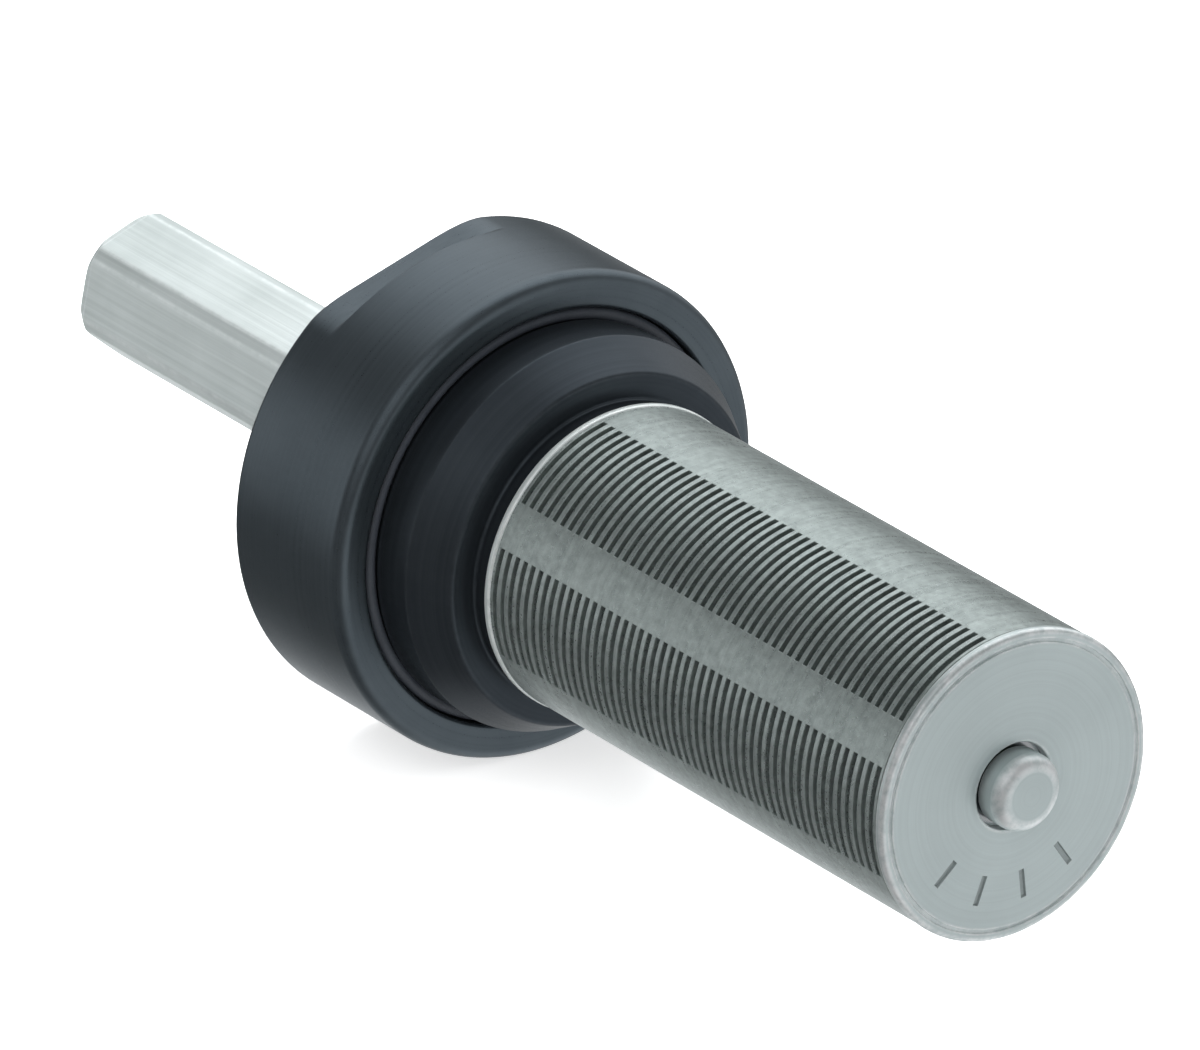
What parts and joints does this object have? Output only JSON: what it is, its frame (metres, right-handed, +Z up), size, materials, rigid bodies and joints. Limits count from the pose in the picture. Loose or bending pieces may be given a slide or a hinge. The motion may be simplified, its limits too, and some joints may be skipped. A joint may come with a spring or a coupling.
{
  "type": "oil burner nozzle",
  "caption": "Oil burner nozzle with a hexagonal stem, black swivel collar, conical seating nose, slotted strainer tube and a spring-closed shut-off needle.",
  "frame": {"origin": "on the nozzle axis, in the plane of the collar's front face, where the cylindrical part of the seating nose begins", "axes": "+X along the nozzle axis from the collar towards the end cap, so the spray leaves along -X; +Z up; +Y to the left when looking along +X"},
  "size_m": [0.1138, 0.04, 0.04],
  "materials": {
    "stem_steel": "brushed",
    "strainer_steel": "satin, bead blasted on the ribs",
    "cap_steel": "fine satin",
    "mesh_steel": "woven wire",
    "hard_steel": "ground",
    "spring_steel": "drawn wire",
    "black_steel": "satin black, blackened steel",
    "seal_rubber": "matt",
    "brass": "turned"
  },
  "bodies": {
    "nozzle": {"hex_stem": "stem_steel", "stem_seal_ring": "seal_rubber", "swirl_disc": "hard_steel", "orifice_disc": "hard_steel", "orifice_nut": "brass", "holder": "black_steel", "thrust_washer": "brass", "snap_ring": "spring_steel", "drag_ring": "seal_rubber", "lock_washer": "spring_steel", "stem_nut": "stem_steel", "strainer_tube": "strainer_steel", "strainer_base_ring": "cap_steel", "mesh_sleeve": "mesh_steel", "mesh_cage": "strainer_steel", "end_cap": "cap_steel", "guide_bush": "hard_steel", "rod_seal_ring": "seal_rubber", "rod_guide": "brass", "return_spring": "spring_steel"},
    "collar": {"swivel_collar": "black_steel"},
    "needle": {"needle_rod": "stem_steel", "needle_tip": "hard_steel", "needle_button": "cap_steel", "spring_cup": "stem_steel", "spring_clip": "spring_steel"}
  },
  "joints": [
    {"name": "collar_turn", "type": "hinge", "parent": "nozzle", "child": "collar", "pos_m": [-0.0075, 0, 0], "axis": [1, 0, 0], "continuous": true},
    {"name": "needle_slide", "type": "slide", "parent": "nozzle", "child": "needle", "axis": [1, 0, 0], "range_m": [0, 0.002], "stiffness_N_per_m": 900, "springref_m": -0.004, "deforming": ["return_spring"]}
  ]
}
